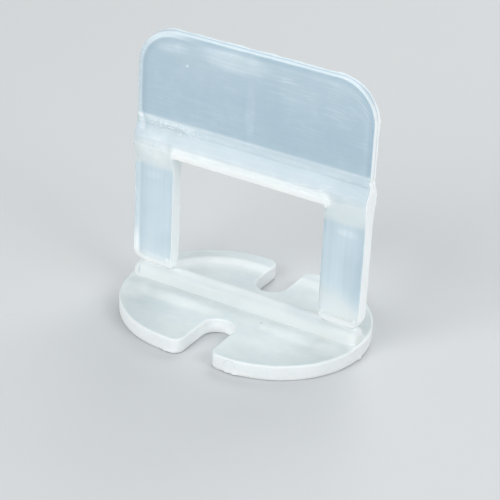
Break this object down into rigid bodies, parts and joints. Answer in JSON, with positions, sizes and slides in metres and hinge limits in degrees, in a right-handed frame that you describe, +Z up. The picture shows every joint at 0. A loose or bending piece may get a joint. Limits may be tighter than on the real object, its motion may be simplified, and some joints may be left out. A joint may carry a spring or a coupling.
{
  "type": "tile levelling clip",
  "caption": "Moulded plastic clip for levelling tiles: a flat round-ended base with two slots, a break-off rib and an upright plate with a square window for a wedge.",
  "frame": {"origin": "middle of the base's underside, which is also the middle of the bounding box's bottom", "axes": "+X along the plate's width and the rib, -Y towards the plate's front face, +Z up from the base to the plate's top edge"},
  "size_m": [0.0406, 0.0302, 0.0446],
  "materials": {
    "natural_polypropylene": "milky translucent, fine moulded gloss on the faces, frosted edges"
  },
  "bodies": {
    "root": {"levelling_clip": "natural_polypropylene"}
  },
  "joints": []
}
